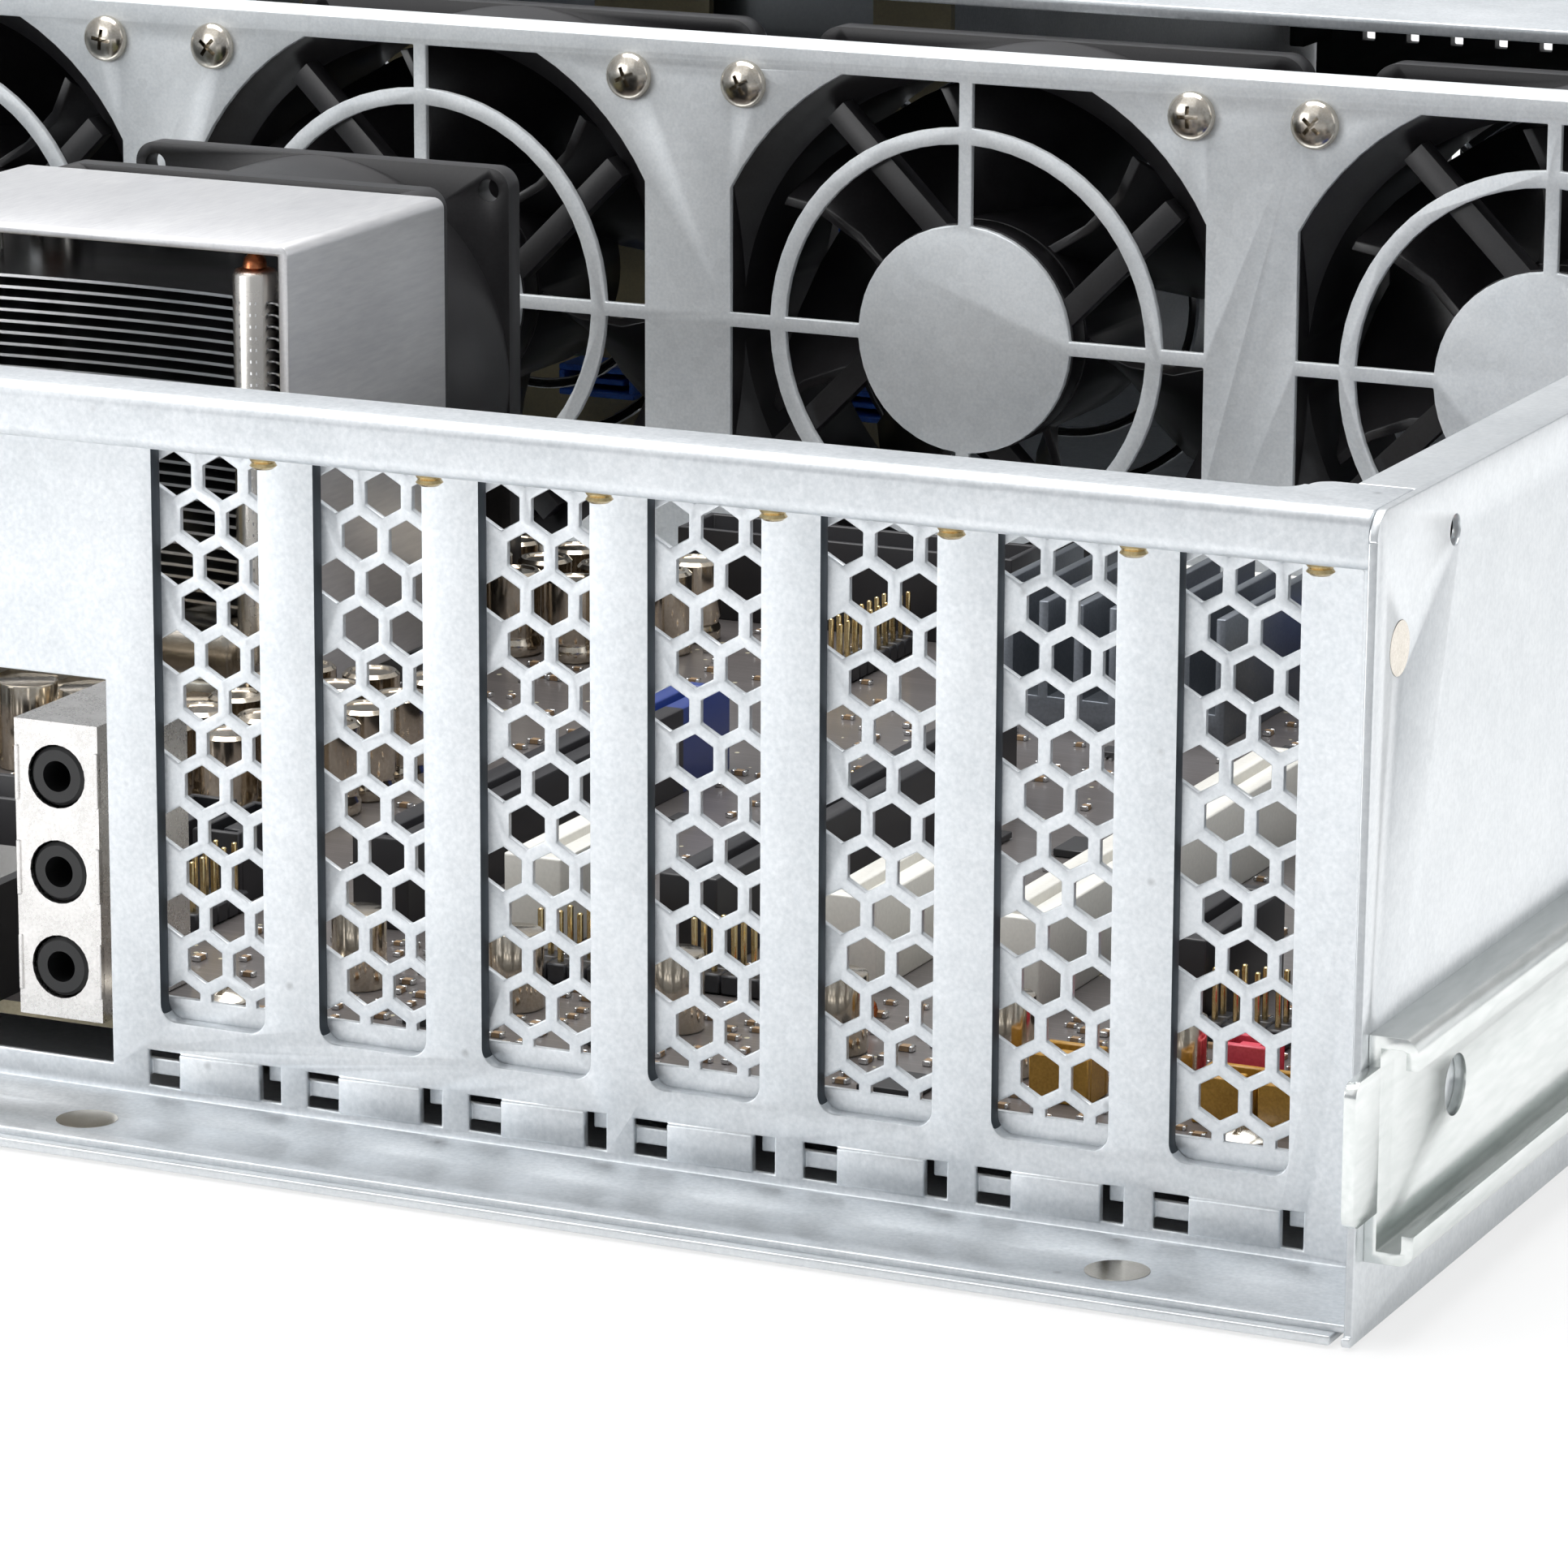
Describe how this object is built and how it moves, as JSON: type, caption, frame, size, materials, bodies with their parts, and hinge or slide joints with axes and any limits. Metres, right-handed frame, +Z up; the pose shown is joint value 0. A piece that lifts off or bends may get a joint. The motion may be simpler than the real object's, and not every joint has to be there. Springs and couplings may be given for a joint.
{
  "type": "rackmount server case",
  "caption": "Rackmount server case, top cover off, with hexagon-vented slot covers, a stamped fan wall, a ducted cooler and hot-swap drive trays.",
  "frame": {"origin": "centre of the underside of the case's bounding box", "axes": "+Z up; +Y towards the drive trays and handles, so the rear panel faces -Y; +X to the right seen from behind"},
  "size_m": [0.4826, 0.599, 0.087],
  "materials": {
    "galvanised_steel": "galvanised, fine grain",
    "fan_wall_steel": "galvanised, satin",
    "psu_steel": "zinc plated, satin",
    "zinc_plated_rail": "zinc plated, bright",
    "nickel_plated_steel": "nickel plated",
    "brass_passivated_screw": "yellow passivated",
    "tinned_spring_steel": "bright tinned",
    "chromed_wire": "bright chrome",
    "bright_aluminium": "bright rolled",
    "anodised_aluminium": "anodised",
    "copper_block": "machined copper",
    "black_pbt": "moulded, fine texture",
    "black_abs": "moulded, fine texture",
    "grey_abs": "moulded, satin",
    "black_paint": "fine texture powder coat",
    "black_nylon": "moulded nylon",
    "connector_nylon": "moulded nylon",
    "port_housing": "nickel plated shell",
    "circuit_board": "solder mask",
    "memory_board": "solder mask",
    "capacitor_can": "can with sleeve",
    "socket_plate": "nickel plated",
    "clear_lens": "clear moulded"
  },
  "bodies": {
    "chassis": {"base_pan": "galvanised_steel", "rear_panel": "galvanised_steel", "slot_covers": "galvanised_steel", "slot_screws": "brass_passivated_screw", "chassis_screws": "nickel_plated_steel", "io_shield": "tinned_spring_steel", "io_ports": "port_housing", "motherboard": "circuit_board", "board_standoffs": "brass_passivated_screw", "expansion_slots": "black_nylon", "memory_slots": "black_nylon", "memory_modules": "memory_board", "board_connectors": "connector_nylon", "board_capacitors": "capacitor_can", "chipset_heatsink": "anodised_aluminium", "cpu_socket": "socket_plate", "cooler_base": "copper_block", "cooler_heat_pipes": "copper_block", "cooler_fins": "bright_aluminium", "cooler_duct": "bright_aluminium", "cooler_fan_frame": "black_pbt", "fan_wall": "fan_wall_steel", "fan_wall_screws": "nickel_plated_steel", "fan_frame_1": "black_pbt", "fan_frame_2": "black_pbt", "fan_frame_3": "black_pbt", "fan_frame_4": "black_pbt", "fan_guards": "chromed_wire", "psu_case": "psu_steel", "psu_fan_frame": "black_pbt", "drive_cage": "galvanised_steel", "drive_backplane": "memory_board", "bay_blanks": "black_abs", "front_panel": "black_paint", "control_panel": "black_abs", "status_lights": "clear_lens", "front_cover": "galvanised_steel", "rack_ears": "black_paint", "ear_handles": "chromed_wire", "slide_rails": "zinc_plated_rail"},
    "fan_1": {"fan_rotor_1": "black_pbt"},
    "fan_2": {"fan_rotor_2": "black_pbt"},
    "fan_3": {"fan_rotor_3": "black_pbt"},
    "fan_4": {"fan_rotor_4": "black_pbt"},
    "cooler_fan": {"cooler_fan_rotor": "black_pbt"},
    "psu_fan": {"psu_fan_rotor": "black_pbt"},
    "tray_1": {"drive_tray_1": "black_abs"},
    "lever_1": {"tray_lever_1": "grey_abs"},
    "tray_2": {"drive_tray_2": "black_abs"},
    "lever_2": {"tray_lever_2": "grey_abs"},
    "tray_3": {"drive_tray_3": "black_abs"},
    "lever_3": {"tray_lever_3": "grey_abs"},
    "tray_4": {"drive_tray_4": "black_abs"},
    "lever_4": {"tray_lever_4": "grey_abs"},
    "tray_5": {"drive_tray_5": "black_abs"},
    "lever_5": {"tray_lever_5": "grey_abs"},
    "tray_6": {"drive_tray_6": "black_abs"},
    "lever_6": {"tray_lever_6": "grey_abs"},
    "power_key": {"power_button": "grey_abs"},
    "reset_key": {"reset_button": "grey_abs"}
  },
  "joints": [
    {"name": "fan_1_spin", "type": "hinge", "parent": "chassis", "child": "fan_1", "pos_m": [-0.13567, 0.0147, 0.0423], "axis": [0, 1, 0], "continuous": true},
    {"name": "fan_2_spin", "type": "hinge", "parent": "chassis", "child": "fan_2", "pos_m": [-0.04523, 0.0147, 0.0423], "axis": [0, 1, 0], "continuous": true},
    {"name": "fan_3_spin", "type": "hinge", "parent": "chassis", "child": "fan_3", "pos_m": [0.04523, 0.0147, 0.0423], "axis": [0, 1, 0], "continuous": true},
    {"name": "fan_4_spin", "type": "hinge", "parent": "chassis", "child": "fan_4", "pos_m": [0.13567, 0.0147, 0.0423], "axis": [0, 1, 0], "continuous": true},
    {"name": "cooler_fan_spin", "type": "hinge", "parent": "chassis", "child": "cooler_fan", "pos_m": [-0.02322, -0.086, 0.045], "axis": [0, 1, 0], "continuous": true},
    {"name": "psu_fan_spin", "type": "hinge", "parent": "chassis", "child": "psu_fan", "pos_m": [-0.1419, -0.26205, 0.036], "axis": [0, 1, 0], "continuous": true},
    {"name": "tray_1_slide", "type": "slide", "parent": "chassis", "child": "tray_1", "axis": [0, 1, 0], "range_m": [0, 0.15]},
    {"name": "lever_1_swing", "type": "hinge", "parent": "tray_1", "child": "lever_1", "pos_m": [-0.20275, 0.2602, 0.0157], "axis": [0, 0, 1], "range_deg": [0, 65]},
    {"name": "tray_2_slide", "type": "slide", "parent": "chassis", "child": "tray_2", "axis": [0, 1, 0], "range_m": [0, 0.15]},
    {"name": "lever_2_swing", "type": "hinge", "parent": "tray_2", "child": "lever_2", "pos_m": [-0.09625, 0.2602, 0.0157], "axis": [0, 0, 1], "range_deg": [0, 65]},
    {"name": "tray_3_slide", "type": "slide", "parent": "chassis", "child": "tray_3", "axis": [0, 1, 0], "range_m": [0, 0.15]},
    {"name": "lever_3_swing", "type": "hinge", "parent": "tray_3", "child": "lever_3", "pos_m": [-0.20275, 0.2602, 0.0434], "axis": [0, 0, 1], "range_deg": [0, 65]},
    {"name": "tray_4_slide", "type": "slide", "parent": "chassis", "child": "tray_4", "axis": [0, 1, 0], "range_m": [0, 0.15]},
    {"name": "lever_4_swing", "type": "hinge", "parent": "tray_4", "child": "lever_4", "pos_m": [-0.09625, 0.2602, 0.0434], "axis": [0, 0, 1], "range_deg": [0, 65]},
    {"name": "tray_5_slide", "type": "slide", "parent": "chassis", "child": "tray_5", "axis": [0, 1, 0], "range_m": [0, 0.15]},
    {"name": "lever_5_swing", "type": "hinge", "parent": "tray_5", "child": "lever_5", "pos_m": [-0.20275, 0.2602, 0.0711], "axis": [0, 0, 1], "range_deg": [0, 65]},
    {"name": "tray_6_slide", "type": "slide", "parent": "chassis", "child": "tray_6", "axis": [0, 1, 0], "range_m": [0, 0.15]},
    {"name": "lever_6_swing", "type": "hinge", "parent": "tray_6", "child": "lever_6", "pos_m": [-0.09625, 0.2602, 0.0711], "axis": [0, 0, 1], "range_deg": [0, 65]},
    {"name": "power_press", "type": "slide", "parent": "chassis", "child": "power_key", "axis": [0, -1, 0], "range_m": [0, 0.0014], "stiffness_N_per_m": 300},
    {"name": "reset_press", "type": "slide", "parent": "chassis", "child": "reset_key", "axis": [0, -1, 0], "range_m": [0, 0.0007], "stiffness_N_per_m": 300}
  ]
}
